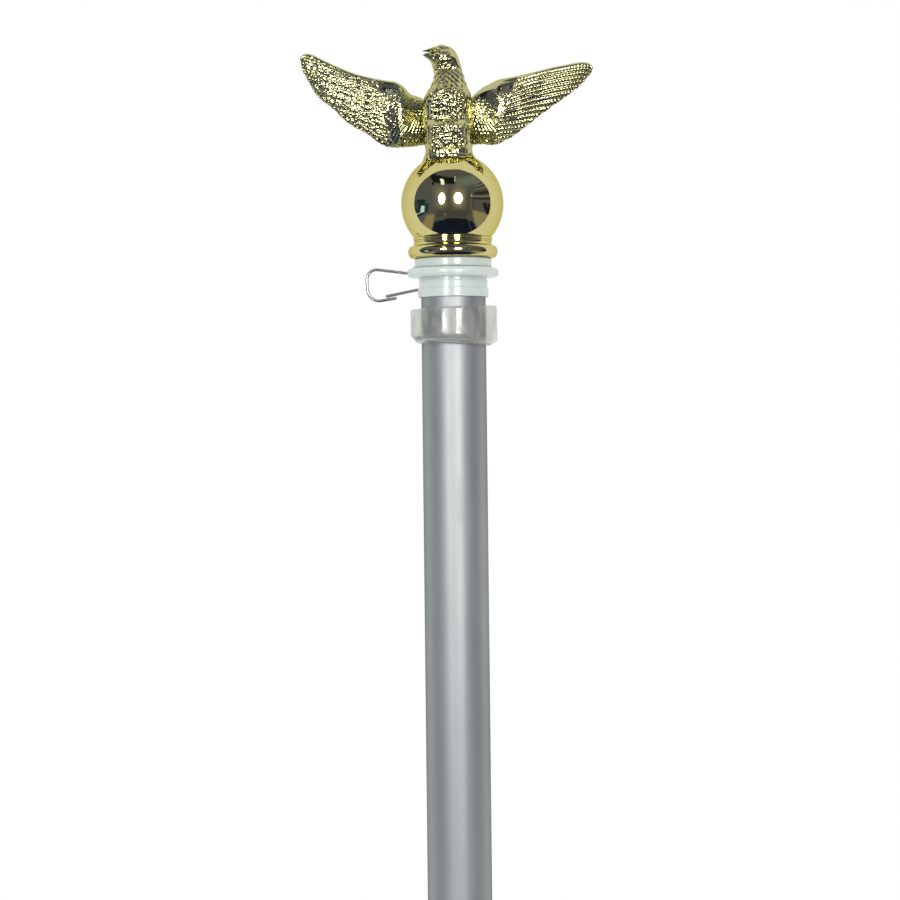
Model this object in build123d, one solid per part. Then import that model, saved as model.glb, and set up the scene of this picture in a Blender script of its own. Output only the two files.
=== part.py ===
"""A two-section aluminium flagpole with an eagle finial, two turning flag rings with wire snap
clips, and clear stop collars. Millimetres, +Z up the pole, origin at the middle of its foot.
The front of the pole looks along -Y, so +X is to the right of somebody who faces it."""

import os
from math import cos, pi, radians, sin, sqrt

from build123d import *

# ---- driving dimensions ------------------------------------------------------------------

TUBE_R = 12.7                # 1 in tube
TUBE_WALL = 1.2
POLE_TOP = 1524.0            # 5 ft from the foot to the upper tube's top edge
JOINT_Z = 764.0              # where the two sections of tube meet
FIT = 0.05                   # radial play of a part that is pushed into the tube
BORE_R = TUBE_R - TUBE_WALL

BALL_R = 20.2
BALL_Z = POLE_TOP + 25.2     # centre of the ball
NECK_R = 15.3                # where the ball runs into its foot
NECK_BEADS = ((1.2, 0.36), (0.6, 0.2))   # height and bulge of the beads around the neck
NECK_GROOVE = 0.12           # between the beads
BASE_R = 17.7                # foot ring of the ball
BASE_Z = -21.5               # underside of the ball's foot, from the ball's centre
SHELL = 1.6                  # wall of the plated ball

PLUG_HEAD_R = 15.2
PLUG_HEAD_H = 3.7
PLUG_DEPTH = 26.0            # how far the top plug goes into the tube

RING_PLAY = 0.08             # running fit of a ring on the tube
RING_GAP = 0.2               # end play between the ring and its neighbour
FLANGE_R = 18.0
FLANGE_H = 3.6
FLANGE_RIM = 1.45            # rounding of the flange's rim
GROOVE_R = 13.35
GROOVE_H = 1.4
HUB_R = 13.9
HUB_H = 6.5
HUB_STEP = 0.35              # the hub's upper part is this much smaller in radius
HUB_STEP_H = 2.9
RING_H = FLANGE_H + GROOVE_H + HUB_H

EYE_AT_R = 16.4              # the clip's hole in the flange
EYE_ANGLE = radians(140)     # behind and to the left
EYE_HOLE_R = 0.85
EYE_BEND = 1.1              # the wire's bends through the hole and over the rim
EYE_X = EYE_AT_R * cos(EYE_ANGLE)
EYE_Y = EYE_AT_R * sin(EYE_ANGLE)
WIRE_R = 0.6
PIVOT_DROP = 2.2             # the gate starts to flex this far below the flange

COLLAR_R = 17.1
COLLAR_H = 14.2
COLLAR_WALL = 1.0
COLLAR_LIP = 3.2             # height of the cone that grips the tube
TOP_COLLAR_GAP = 4.2         # from the ring's hub to the clear collar
LOWER_RING_Z = 610.0         # top of the lower ring
LOWER_COLLAR_GAP = 0.4

JOINER_R = BORE_R - FIT
JOINER_WALL = 1.5
JOINER_H = 200.0
RIVET_R = 1.6
RIVET_HEAD_R = 3.2
RIVET_HEAD_H = 0.8
RIVET_Z = (-62.0, -34.0)     # from the joint
BUTTON_R = 3.0
BUTTON_TAIL = 3.0            # how far it reaches in past the joiner's wall
BUTTON_Z = 36.0
BUTTON_PROUD = 2.4           # how far the button stands out of the tube
SPRING_LEAF = 0.6
SPRING_WIDTH = 5.0
SPRING_DROP = 28.0           # depth of the leaf's bend below the button

FOOT_RIM_H = 2.5
FOOT_PLUG_H = 118.0
LOCK_GROOVE_Z = 108.0        # rolled groove that locks the foot plug
LOCK_GROOVE_H = 3.0
LOCK_GROOVE_DEPTH = 0.5

STUD_R = 2.5
INSERT_R = 5.0
BOLT_R = 4.0
BOLT_HEAD_AF = 13.0
BOLT_HEAD_H = 5.3
WASHER_R = 8.0
WASHER_H = 1.6
PLUG_WEB = 7.5               # solid top of the plug, head included
INSERT_TOP = -9.0            # floor of the ball's hollow, from the ball's centre
STUD_SPAN = (9.5, 27.5)      # the stud's ends, from the ball's centre
BOSS_WALL = 3.0              # metal around the stud inside the ball

WING_THICK = 3.2
WING_SWEEP = 10.0            # degrees that a wing's tip is swept back
TAIL_SIZE = (15, 3, 22)
TAIL_TILT = 38
EASE = 0.02                  # keeps a screw's surface off the wall around it

PARTS = {}


def keep(name, shape):
    """Files a finished piece under its node name."""
    PARTS[name] = shape


def disc(radius, low, high):
    """A solid cylinder on the pole's axis between two heights."""
    return Pos(0, 0, (low + high) / 2) * Cylinder(radius, high - low)


def pipe(outer, inner, low, high):
    return disc(outer, low, high) - disc(inner, low - 1, high + 1)


def turned(edges):
    """Turns a closed outline, drawn as radius and height, about the pole's axis."""
    return revolve(Plane.XZ * make_face(edges), Axis.Z)


def hexagon_bar(across_flats, low, high):
    side = across_flats / sqrt(3)
    return Pos(0, 0, low) * extrude(RegularPolygon(side, 6), high - low)


def wire(points, bends):
    """Round wire of the clip's gauge along straight runs joined by tangent bends."""
    path = FilletPolyline(*points, radius=bends)
    section = Plane(path @ 0, z_dir=path % 0) * Circle(WIRE_R)
    return sweep(section, path=path)


# ---- finial ------------------------------------------------------------------------------


def ball_outline():
    """Half section of the ball, its two neck beads and its foot ring, from the ball's centre."""
    neck_z = -sqrt(BALL_R**2 - NECK_R**2)
    top = (0, BALL_R)
    side = (BALL_R, 0)
    neck = (NECK_R, neck_z)
    outline = ThreePointArc(top, (BALL_R * cos(pi / 4), BALL_R * sin(pi / 4)), side)
    outline += ThreePointArc(side, (BALL_R * cos(pi / 8), -BALL_R * sin(pi / 8)), neck)
    z = neck_z
    for height, bulge in NECK_BEADS:
        groove_z = z - NECK_GROOVE
        outline += Line((NECK_R, z), (NECK_R, groove_z))
        z = groove_z - height
        crown = (NECK_R + bulge, (groove_z + z) / 2)
        outline += ThreePointArc((NECK_R, groove_z), crown, (NECK_R, z))
    ring_top = (BASE_R - 0.7, -17.0)
    ring_low = (BASE_R - 0.8, -21.0)
    outline += ThreePointArc((NECK_R, z), (NECK_R + 0.4, -16.3), ring_top)
    outline += ThreePointArc(ring_top, (BASE_R, -19.0), ring_low)
    outline += Line(ring_low, (BASE_R - 1.4, BASE_Z))
    outline += Line((BASE_R - 1.4, BASE_Z), (0, BASE_Z))
    outline += Line((0, BASE_Z), top)
    return outline


def make_ball():
    """A thin shell with a solid foot, and a boss that hangs inside for the eagle's stud."""
    shell = turned(ball_outline())
    below_floor = Pos(0, 0, INSERT_TOP - BALL_R) * Box(3 * BALL_R, 3 * BALL_R, 2 * BALL_R)
    hollow = Sphere(BALL_R - SHELL) - below_floor
    boss_low = STUD_SPAN[0] - 0.5
    boss = disc(STUD_R + BOSS_WALL, boss_low, BALL_R - 0.5 * SHELL)
    body = shell - hollow + boss
    body -= disc(STUD_R, boss_low - 1, BALL_R + 1)
    body -= disc(INSERT_R, BASE_Z - 1, INSERT_TOP + 1)
    return Pos(0, 0, BALL_Z) * body


def wing_outline(side):
    """One spread wing as seen from the front. side is -1 for the left wing, 1 for the right."""
    if side < 0:
        lead = [(-5, 38), (-14, 43.2), (-21, 48.4), (-32, 50.6), (-45, 54.7), (-56.8, 59.4)]
        trail = [(-60.0, 56.5), (-56.6, 47.6), (-47, 38.8), (-36, 29.6), (-25, 23.0), (-5, 25)]
    else:
        lead = [(4, 38), (11.5, 45.4), (20, 49.3), (32, 51.7), (46, 54.6), (53.6, 55.5)]
        trail = [(55.9, 53.2), (52.5, 48.6), (44, 41), (33, 33.4), (22, 25.2), (4, 25)]
    outline = Spline(*lead)
    outline += Line(lead[-1], trail[0])
    outline += Spline(*trail)
    outline += Line(trail[-1], lead[0])
    return make_face(outline)


def make_wing(side):
    """A wing is a plate that stands a little behind the breast and is swept back at its tip."""
    plate = extrude(Plane.XZ * wing_outline(side), WING_THICK / 2, both=True)
    stretch = 1 / cos(radians(WING_SWEEP))
    plate = scale(plate, by=(stretch, 1, 1))
    return Rot(0, 0, side * WING_SWEEP) * plate


def make_eagle():
    """Breast, neck and head as round forms, the wings as plates, and a tail behind the ball."""
    breast_half = (10.6, 9.5, 15.5)
    neck_half = (6.4, 6.4, 12)
    head_half = (5.7, 4.6, 4.5)
    beak_r, beak_tip_r, beak_length = 2.3, 0.5, 6.2
    breast = Pos(-1.4, -0.2, 31) * scale(Sphere(1), by=breast_half)
    foot = Pos(-1.2, 0, 19.6) * Cylinder(8.6, 6.0)
    neck = Pos(-1.8, 1.2, 48) * scale(Sphere(1), by=neck_half)
    head = Pos(-3.0, 3.2, 58.4) * scale(Sphere(1), by=head_half)
    beak = Pos(-9.4, 2.5, 59.6) * Rot(0, -82, 0) * Cone(beak_r, beak_tip_r, beak_length)
    tail = Pos(-1.2, 14.5, 18.5) * Rot(TAIL_TILT, 0, 0) * Box(*TAIL_SIZE)
    figure = breast + foot + neck + head + beak
    figure += make_wing(-1)
    figure += make_wing(1)
    figure += tail
    seat = Sphere(BALL_R + EASE)
    figure -= seat
    figure -= disc(STUD_R, STUD_SPAN[0], STUD_SPAN[1] + 0.5)
    return Pos(0, 0, BALL_Z) * figure.solids().sort_by(SortBy.VOLUME)[-1]


def make_finial():
    keep("ball", make_ball())
    keep("eagle", make_eagle())
    keep("eagle_stud", disc(STUD_R - EASE, BALL_Z + STUD_SPAN[0], BALL_Z + STUD_SPAN[1]))
    insert_top = BALL_Z + INSERT_TOP
    insert = pipe(INSERT_R - EASE, BOLT_R, BALL_Z + BASE_Z + 0.1, insert_top)
    keep("finial_insert", insert)
    web_low = BALL_Z + BASE_Z - PLUG_WEB
    head_top = web_low - WASHER_H
    shank = disc(BOLT_R - EASE, head_top, insert_top - 2.5)
    head = hexagon_bar(BOLT_HEAD_AF, head_top - BOLT_HEAD_H, head_top)
    keep("finial_bolt", shank + head)
    keep("bolt_washer", pipe(WASHER_R, BOLT_R + 0.3, head_top, web_low))


# ---- the pole ----------------------------------------------------------------------------


def make_top_plug():
    """A head that caps the tube, and a ribbed hollow stem that is pressed into it."""
    head = disc(PLUG_HEAD_R, POLE_TOP, POLE_TOP + PLUG_HEAD_H)
    head = fillet(head.edges().filter_by(GeomType.CIRCLE), 0.7)
    stem = disc(BORE_R - FIT, POLE_TOP - PLUG_DEPTH, POLE_TOP)
    stem = chamfer(stem.edges().filter_by(GeomType.CIRCLE).sort_by(Axis.Z)[0], 1.0)
    plug = head + stem
    for z in (POLE_TOP - 8.0, POLE_TOP - 14.0, POLE_TOP - 20.0):
        plug -= pipe(BORE_R + 1, BORE_R - FIT - 0.6, z, z + 2.0)
    web_low = POLE_TOP + PLUG_HEAD_H - PLUG_WEB
    plug -= disc(WASHER_R + 0.3, POLE_TOP - PLUG_DEPTH - 1, web_low)
    plug -= disc(BOLT_R + 0.2, web_low - 1, POLE_TOP + PLUG_HEAD_H + 1)
    return plug


def cross_hole(radius, height, reach):
    """A drill through the front wall only, out to the given distance from the axis."""
    return Pos(0, -reach / 2, height) * Rot(90, 0, 0) * Cylinder(radius, reach)


def make_tubes():
    upper = pipe(TUBE_R, BORE_R, JOINT_Z, POLE_TOP)
    lower = pipe(TUBE_R, BORE_R, FOOT_RIM_H, JOINT_Z)
    groove_top = LOCK_GROOVE_Z + LOCK_GROOVE_H
    lower -= pipe(TUBE_R + 1, TUBE_R - LOCK_GROOVE_DEPTH, LOCK_GROOVE_Z, groove_top)
    bead = pipe(BORE_R + 0.3, BORE_R - LOCK_GROOVE_DEPTH, LOCK_GROOVE_Z, groove_top)
    lower += bead
    joiner = pipe(JOINER_R, JOINER_R - JOINER_WALL, JOINT_Z - JOINER_H / 2, JOINT_Z + JOINER_H / 2)
    button_z = JOINT_Z + BUTTON_Z
    upper -= cross_hole(BUTTON_R + 0.3, button_z, TUBE_R + 1)
    joiner -= cross_hole(BUTTON_R + 0.3, button_z, TUBE_R + 1)
    for z in RIVET_Z:
        drill = cross_hole(RIVET_R + EASE, JOINT_Z + z, TUBE_R + 1)
        lower -= drill
        joiner -= drill
    keep("upper_tube", upper)
    keep("lower_tube", lower)
    keep("joiner_tube", joiner)


def make_rivets():
    """Blind rivets: a low domed head outside, a shank through both walls, a bulb inside."""
    inside = JOINER_R - JOINER_WALL
    walls = pipe(TUBE_R, BORE_R, -9, 9) + pipe(JOINER_R, inside, -9, 9)
    walls -= cross_hole(RIVET_R + EASE, 0, TUBE_R + 1)
    start = inside - 1.6
    shank = Pos(0, 0, (start + TUBE_R) / 2) * Cylinder(RIVET_R, TUBE_R - start)
    low = TUBE_R - RIVET_HEAD_H
    flare = Pos(0, 0, low + RIVET_HEAD_H / 2) * Cylinder(RIVET_HEAD_R, RIVET_HEAD_H)
    crown = Pos(0, 0, TUBE_R + RIVET_HEAD_H / 2) * Cone(RIVET_HEAD_R, RIVET_R, RIVET_HEAD_H)
    bulb = Pos(0, 0, start + 0.6) * Cylinder(RIVET_R + 0.7, 1.2)
    rivet = Rot(90, 0, 0) * (shank + flare + crown + bulb) - walls
    rivet = rivet.solids().sort_by(SortBy.VOLUME)[-1]
    return Compound([Pos(0, 0, JOINT_Z + z) * rivet for z in RIVET_Z])


def make_snap_button():
    """It stands through both tubes, and its shoulder inside the joiner keeps it from coming out."""
    inside = JOINER_R - JOINER_WALL
    low = inside - BUTTON_TAIL
    high = TUBE_R + BUTTON_PROUD
    body = Pos(0, 0, (low + high) / 2) * Cylinder(BUTTON_R, high - low)
    body = fillet(body.edges().filter_by(GeomType.CIRCLE).sort_by(Axis.Z)[-1], 1.3)
    shoulder = Pos(0, 0, low + 1.2) * Cylinder(BUTTON_R + 1.0, 1.6)
    return Pos(0, 0, JOINT_Z + BUTTON_Z) * Rot(90, 0, 0) * (body + shoulder)


def make_snap_spring():
    """A bent leaf: one leg lies on the joiner's back wall, the other pushes on the button."""
    inside = JOINER_R - JOINER_WALL
    clear = SPRING_LEAF / 2 + 0.05
    front = -(inside - BUTTON_TAIL) + clear
    back = sqrt(inside**2 - (SPRING_WIDTH / 2) ** 2) - clear
    bend = ((front + back) / 2, -SPRING_DROP)
    points = [(front, 6), (front, -5), bend, (back, -5), (back, 6)]
    path = FilletPolyline(*[(0, y, z) for y, z in points], radius=[3, 3, 3])
    across = Plane(path @ 0, x_dir=(1, 0, 0), z_dir=path % 0)
    section = across * Rectangle(SPRING_WIDTH, SPRING_LEAF)
    return Pos(0, 0, JOINT_Z + BUTTON_Z) * sweep(section, path=path)


def make_foot_plug():
    """Closes the foot. Its long stem backs the thin tube where a bracket's screw bears on it."""
    rim = disc(TUBE_R - 0.4, 0, FOOT_RIM_H)
    rim = fillet(rim.edges().filter_by(GeomType.CIRCLE).sort_by(Axis.Z)[0], 0.8)
    stem = disc(BORE_R - FIT, FOOT_RIM_H, FOOT_PLUG_H)
    stem = chamfer(stem.edges().filter_by(GeomType.CIRCLE).sort_by(Axis.Z)[-1], 1.2)
    lock_r = BORE_R - LOCK_GROOVE_DEPTH - FIT
    stem -= pipe(BORE_R + 1, lock_r, LOCK_GROOVE_Z - 0.1, LOCK_GROOVE_Z + LOCK_GROOVE_H + 0.1)
    core = disc(7.5, 8.0, FOOT_PLUG_H + 1)
    return rim + stem - core


# ---- the two sets of ring, clip and collar -----------------------------------------------


def make_ring(top):
    """A flange with a rounded rim above a short stepped hub, with the clip's hole behind-left."""
    flange = disc(FLANGE_R, top - FLANGE_H, top)
    flange = fillet(flange.edges().filter_by(GeomType.CIRCLE), FLANGE_RIM)
    hub_top = top - FLANGE_H - GROOVE_H
    neck = disc(GROOVE_R, hub_top - 1, top - FLANGE_H + 1)
    step_z = hub_top - HUB_STEP_H
    upper_hub = disc(HUB_R - HUB_STEP, step_z - 1, hub_top)
    upper_hub = fillet(upper_hub.edges().filter_by(GeomType.CIRCLE).sort_by(Axis.Z)[-1], 0.3)
    hub = disc(HUB_R, hub_top - HUB_H, step_z)
    hub = fillet(hub.edges().filter_by(GeomType.CIRCLE), 0.3)
    ring = flange + neck + upper_hub + hub
    ring -= disc(TUBE_R + RING_PLAY, top - RING_H - 1, top + 1)
    ring -= Pos(EYE_X, EYE_Y, top) * Cylinder(EYE_HOLE_R, 3 * FLANGE_H)
    return ring


def clip_points(top, outward_and_up):
    """Turns points in the clip's own plane, from the eye outward and up, into the frame."""
    return [(EYE_X - out, EYE_Y, top + up) for out, up in outward_and_up]


def make_clip(top):
    """The snap clip's wire goes through the flange's hole. Its upper arm runs out to the nose
    and back under to the hook. Its lower arm is the gate, whose free end lies on the hook."""
    pivot = (0, -FLANGE_H - PIVOT_DROP)
    over = 1.05
    crank = 3.1
    nose_top, nose_top_bend = (21.9, 1.0), 3.9
    nose_low, nose_low_bend = (21.2, -12.8), 4.7
    hook_end = (10.0, -10.95)
    hook_run = [pivot, (0, over), (crank, over), (crank + 0.3, -1.45), nose_top, nose_low, hook_end]
    hook_bends = [EYE_BEND, EYE_BEND, EYE_BEND, nose_top_bend, nose_low_bend]
    gate_run = [pivot, (0, -7.45), (14.2, -10.25)]
    at = Pos(*clip_points(top, [pivot])[0])
    hook = wire(clip_points(top, hook_run), hook_bends)
    hook -= at * Sphere(WIRE_R + 0.03)
    gate = wire(clip_points(top, gate_run), [1.2]) + at * Sphere(WIRE_R)
    return hook, gate


def make_collar(top):
    """A thin clear cup around the tube: open on top, with a cone below that grips the tube."""
    grip_r = TUBE_R + RING_PLAY
    low = -COLLAR_H
    inner = COLLAR_R - COLLAR_WALL
    outline = Polyline(
        (grip_r, low),
        (grip_r + 1.6, low),
        (COLLAR_R, low + COLLAR_LIP),
        (COLLAR_R, -0.7),
        (COLLAR_R - 0.4, 0),
        (inner + 0.1, 0),
        (inner, -0.3),
        (inner, low + COLLAR_LIP + 0.4),
        (grip_r + 0.9, low + 1.5),
        (grip_r, low + 1.8),
        close=True,
    )
    return Pos(0, 0, top) * revolve(Plane.XZ * make_face(outline), Axis.Z)


def make_flag_holder(name, top, collar_gap):
    hook, gate = make_clip(top)
    keep(name + "_ring", make_ring(top))
    keep(name + "_clip_hook", hook)
    keep(name + "_clip_gate", gate)
    keep(name + "_stop_collar", make_collar(top - RING_H - collar_gap))


make_finial()
keep("top_plug", make_top_plug())
make_tubes()
keep("joiner_rivets", make_rivets())
keep("snap_button", make_snap_button())
keep("snap_spring", make_snap_spring())
keep("foot_plug", make_foot_plug())
make_flag_holder("top", POLE_TOP - RING_GAP, TOP_COLLAR_GAP)
make_flag_holder("lower", LOWER_RING_Z, LOWER_COLLAR_GAP)

os.makedirs("parts", exist_ok=True)
for name, shape in PARTS.items():
    export_step(shape, f"parts/{name}.step")
    print(name, len(shape.solids()), round(sum(s.volume for s in shape.solids())))
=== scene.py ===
# %% [markdown]
# # A flagpole with a gilt eagle
# This lesson dresses a finished CAD model of a flagpole: an aluminium tube, two turning flag
# rings with wire snap clips, clear stop collars, and on top a plated ball with a spread eagle.
# The CAD parts are the fixed frame. Here they get real finishes, and the soft, thin or sculpted
# parts are modelled again with more shape than CAD gives them.

# %% The frame
import math

import bpy
import numpy as np
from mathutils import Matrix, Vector


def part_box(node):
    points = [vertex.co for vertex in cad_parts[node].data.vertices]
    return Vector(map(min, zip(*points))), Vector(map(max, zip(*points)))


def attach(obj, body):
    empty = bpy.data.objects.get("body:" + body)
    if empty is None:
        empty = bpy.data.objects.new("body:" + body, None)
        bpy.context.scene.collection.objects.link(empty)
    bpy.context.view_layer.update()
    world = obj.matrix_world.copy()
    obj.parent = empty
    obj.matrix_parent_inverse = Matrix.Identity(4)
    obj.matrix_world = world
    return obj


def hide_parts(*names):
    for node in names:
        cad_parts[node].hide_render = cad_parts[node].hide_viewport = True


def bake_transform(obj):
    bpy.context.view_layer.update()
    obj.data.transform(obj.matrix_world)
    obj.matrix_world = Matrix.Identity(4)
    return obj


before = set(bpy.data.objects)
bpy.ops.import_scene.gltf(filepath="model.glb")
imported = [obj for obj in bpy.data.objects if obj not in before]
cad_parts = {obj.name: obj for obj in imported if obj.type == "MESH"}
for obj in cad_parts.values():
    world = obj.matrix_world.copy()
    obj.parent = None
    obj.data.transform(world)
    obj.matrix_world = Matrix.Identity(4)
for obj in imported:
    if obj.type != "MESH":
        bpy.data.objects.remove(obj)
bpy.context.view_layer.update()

MM = 0.001

# %% [markdown]
# ## Where things are
# Every place is read from the CAD nodes, so nothing has to be fitted by eye. The ball's centre
# is the finial's own origin: the eagle's shape is drawn around it, in millimetres. The ball's
# mesh starts at the neck below it, so its centre is a known step above its lowest point.

# %% Places read from the frame
ball_low, ball_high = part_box("ball")
NECK_TO_CENTRE = 0.0215
BALL = Vector((0, 0, ball_low.z + NECK_TO_CENTRE))
print("ball centre", tuple(BALL), "width", ball_high.x - ball_low.x)

# %% [markdown]
# ## Camera
# The view shows the top of the pole. A long lens a good metre away, level with the tube below
# the ring, keeps the tube's sides parallel and shows the ring's rims as thin bands. It is rolled
# by a little over half a degree, because a camera in the hand is never quite level. The lens is
# worked out from the width that the view has to show.

# %% Camera
CAMERA_AWAY = 1.2
CAMERA_ASIDE = -0.002
CAMERA_BELOW_BALL = 0.0969
CAMERA_ROLL = 0.0111
VIEW_WIDTH = 0.3544
camera_data = bpy.data.cameras.new("camera")
camera_data.sensor_width = 36
camera_data.lens = camera_data.sensor_width * CAMERA_AWAY / VIEW_WIDTH
camera = bpy.data.objects.new("camera", camera_data)
camera.location = (CAMERA_ASIDE, -CAMERA_AWAY, BALL.z - CAMERA_BELOW_BALL)
camera.rotation_euler = (math.pi / 2, CAMERA_ROLL, 0)
bpy.context.scene.collection.objects.link(camera)
bpy.context.scene.camera = camera
print("lens", round(camera_data.lens, 1), "mm")

# %% [markdown]
# ## The room around it
# Plated metal shows the room more than itself. The pole stands before a white ground, so
# everything behind it is white, and in front is a dim room with a window, a few pale panels and
# a dark floor. The room could be built from walls and lamps. Painted on the world by direction
# it costs nothing to render and each panel can be moved alone. The first cell holds two helpers
# that join shader nodes.

# %% Helpers for the world
world = bpy.data.worlds.new("room")
bpy.context.scene.world = world
world.use_nodes = True
wn, wl = world.node_tree.nodes, world.node_tree.links
wn.clear()


def world_math(operation, a, b=0.0, clamp=False):
    node = wn.new("ShaderNodeMath")
    node.operation = operation
    node.use_clamp = clamp
    for socket, value in zip(node.inputs, (a, b)):
        if isinstance(value, (int, float)):
            socket.default_value = value
        else:
            wl.new(value, socket)
    return node.outputs[0]


def world_mix(factor, a, b):
    node = wn.new("ShaderNodeMix")
    node.data_type = "RGBA"
    wl.new(factor, node.inputs["Factor"])
    for name, value in (("A", a), ("B", b)):
        socket = [s for s in node.inputs if s.name == name and s.type == "RGBA"][0]
        if isinstance(value, tuple):
            socket.default_value = (*value, 1)
        else:
            wl.new(value, socket)
    return [s for s in node.outputs if s.type == "RGBA"][0]


print("world", world.name)

# %% [markdown]
# ### Directions that waver
# Straight painted edges would look drawn. A little noise is added to every direction before
# the panels are laid out, so that their edges wander, as they do in a moulded mirror.

# %% Wavering directions
WAVER = (0.07, 0.09, 0.07)
direction = wn.new("ShaderNodeTexCoord").outputs["Generated"]
unevenness = wn.new("ShaderNodeTexNoise")
unevenness.inputs["Scale"].default_value = 3.2
unevenness.inputs["Detail"].default_value = 3.0
wl.new(direction, unevenness.inputs["Vector"])
centred = wn.new("ShaderNodeVectorMath")
centred.operation = "SUBTRACT"
centred.inputs[1].default_value = (0.5, 0.5, 0.5)
wl.new(unevenness.outputs["Color"], centred.inputs[0])
warp = wn.new("ShaderNodeVectorMath")
warp.operation = "MULTIPLY_ADD"
warp.inputs[1].default_value = WAVER
wl.new(centred.outputs[0], warp.inputs[0])
wl.new(direction, warp.inputs[2])
split = wn.new("ShaderNodeSeparateXYZ")
wl.new(warp.outputs[0], split.inputs[0])
DX, DY, DZ = split.outputs
print("directions waver by", WAVER)

# %% [markdown]
# ### Panels of the room
# Each row of the table is one soft-edged panel, laid over those before it: the ceiling, the two
# wide glows around the lamps, the floor, the window on the left with the dark wall around it,
# a ceiling lamp, and shelves on the right. Blue shadows and warm whites keep the gold from
# looking flat.

# %% Panels of the room


def soft_patch(x, z, half_x, half_z, edge=0.04):
    """1 inside a rectangle of directions, in the half of the room in front, and 0 outside."""
    across = world_math("ABSOLUTE", world_math("SUBTRACT", DX, x))
    up = world_math("ABSOLUTE", world_math("SUBTRACT", DZ, z))
    inside_x = world_math("MULTIPLY", world_math("SUBTRACT", half_x, across), 1 / edge, True)
    inside_z = world_math("MULTIPLY", world_math("SUBTRACT", half_z, up), 1 / edge, True)
    return world_math("MULTIPLY", inside_x, inside_z)


ROOM_COLOUR = (0.125, 0.140, 0.250)
ROOM_PATCHES = [
    # across, up, half width, half height, edge, colour
    (0.44, 0.70, 0.36, 0.16, 0.10, (0.210, 0.250, 0.400)),
    (0.92, 0.40, 0.16, 0.30, 0.08, (0.090, 0.100, 0.150)),
    (0.00, -0.06, 0.68, 0.56, 0.14, (0.095, 0.095, 0.150)),
    (-0.41, 0.15, 0.30, 0.50, 0.26, (0.330, 0.315, 0.400)),
    (0.22, 0.15, 0.36, 0.50, 0.28, (0.380, 0.360, 0.450)),
    (0.00, 0.10, 0.05, 0.50, 0.08, (0.120, 0.110, 0.150)),
    (0.00, -0.80, 0.74, 0.21, 0.07, (0.010, 0.018, 0.075)),
    (0.10, -0.66, 0.42, 0.10, 0.05, (0.012, 0.016, 0.050)),
    (-0.74, -0.60, 0.13, 0.24, 0.05, (0.380, 0.330, 0.300)),
    (0.86, -0.52, 0.17, 0.26, 0.05, (0.400, 0.370, 0.340)),
    (-0.95, -0.12, 0.060, 0.24, 0.02, (0.020, 0.045, 0.100)),
    (-0.86, -0.16, 0.060, 0.16, 0.02, (0.030, 0.060, 0.120)),
    (-0.935, -0.18, 0.035, 0.11, 0.02, (0.850, 1.350, 2.300)),
    (-0.935, -0.18, 0.006, 0.11, 0.01, (0.200, 0.300, 0.550)),
    (-0.26, 0.75, 0.37, 0.11, 0.03, (0.014, 0.016, 0.030)),
    (-0.62, 0.62, 0.05, 0.05, 0.03, (0.020, 0.022, 0.040)),
    (-0.33, 0.70, 0.060, 0.09, 0.02, (1.700, 1.700, 2.400)),
    (0.09, 0.79, 0.016, 0.08, 0.01, (1.300, 1.300, 1.700)),
    (0.98, -0.15, 0.035, 0.16, 0.02, (0.018, 0.020, 0.030)),
    (0.90, 0.30, 0.16, 0.045, 0.02, (0.030, 0.032, 0.045)),
    (0.88, 0.20, 0.20, 0.022, 0.01, (0.330, 0.330, 0.460)),
    (0.86, 0.12, 0.16, 0.030, 0.01, (0.028, 0.030, 0.040)),
    (0.90, 0.44, 0.12, 0.018, 0.01, (0.340, 0.340, 0.450)),
    (0.84, 0.54, 0.12, 0.016, 0.01, (0.300, 0.300, 0.400)),
    (0.76, 0.62, 0.10, 0.014, 0.01, (0.280, 0.280, 0.380)),
    (0.68, 0.24, 0.020, 0.04, 0.02, (1.300, 1.200, 1.300)),
    (0.68, -0.10, 0.018, 0.16, 0.02, (0.230, 0.210, 0.220)),
    (0.74, -0.08, 0.014, 0.14, 0.01, (0.020, 0.022, 0.030)),
    (0.56, -0.58, 0.010, 0.24, 0.01, (0.190, 0.180, 0.220)),
    (-0.30, -0.45, 0.020, 0.02, 0.01, (0.900, 0.850, 0.900)),
    (-0.22, -0.48, 0.012, 0.02, 0.01, (0.700, 0.650, 0.700)),
]
colour = ROOM_COLOUR
for x, z, half_x, half_z, edge, paint in ROOM_PATCHES:
    colour = world_mix(soft_patch(x, z, half_x, half_z, edge), colour, paint)
print("room patches", len(ROOM_PATCHES))

# %% [markdown]
# ### White behind, a soft sky for matt surfaces
# Behind the pole all is white, with a border that bends a little towards the front at the top
# and bottom. A matt surface would take the dim room's colour, so its rays see a plain soft sky
# instead, brighter above than below. The camera itself sees plain white.

# %% The world put together
WHITE = (1.0, 1.0, 1.0)
SKY_BELOW, SKY_ABOVE = (0.30, 0.31, 0.31), (0.74, 0.76, 0.75)
BORDER, BORDER_BEND, BORDER_SHARPNESS = 0.09, 0.30, 40.0
bend = world_math("MULTIPLY", world_math("MULTIPLY", DZ, DZ), BORDER_BEND)
edge_of_room = world_math("SUBTRACT", BORDER, bend)
behind = world_math("MULTIPLY", world_math("SUBTRACT", DY, edge_of_room), BORDER_SHARPNESS, True)
surround = world_mix(behind, colour, WHITE)
light_path = wn.new("ShaderNodeLightPath").outputs
from_above = world_math("ADD", world_math("MULTIPLY", DZ, 0.5), 0.5, True)
soft_sky = world_mix(from_above, SKY_BELOW, SKY_ABOVE)
lighting = world_mix(light_path["Is Diffuse Ray"], surround, soft_sky)
final = world_mix(light_path["Is Camera Ray"], lighting, WHITE)
background = wn.new("ShaderNodeBackground")
wl.new(final, background.inputs["Color"])
world_out = wn.new("ShaderNodeOutputWorld")
wl.new(background.outputs[0], world_out.inputs["Surface"])
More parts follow.
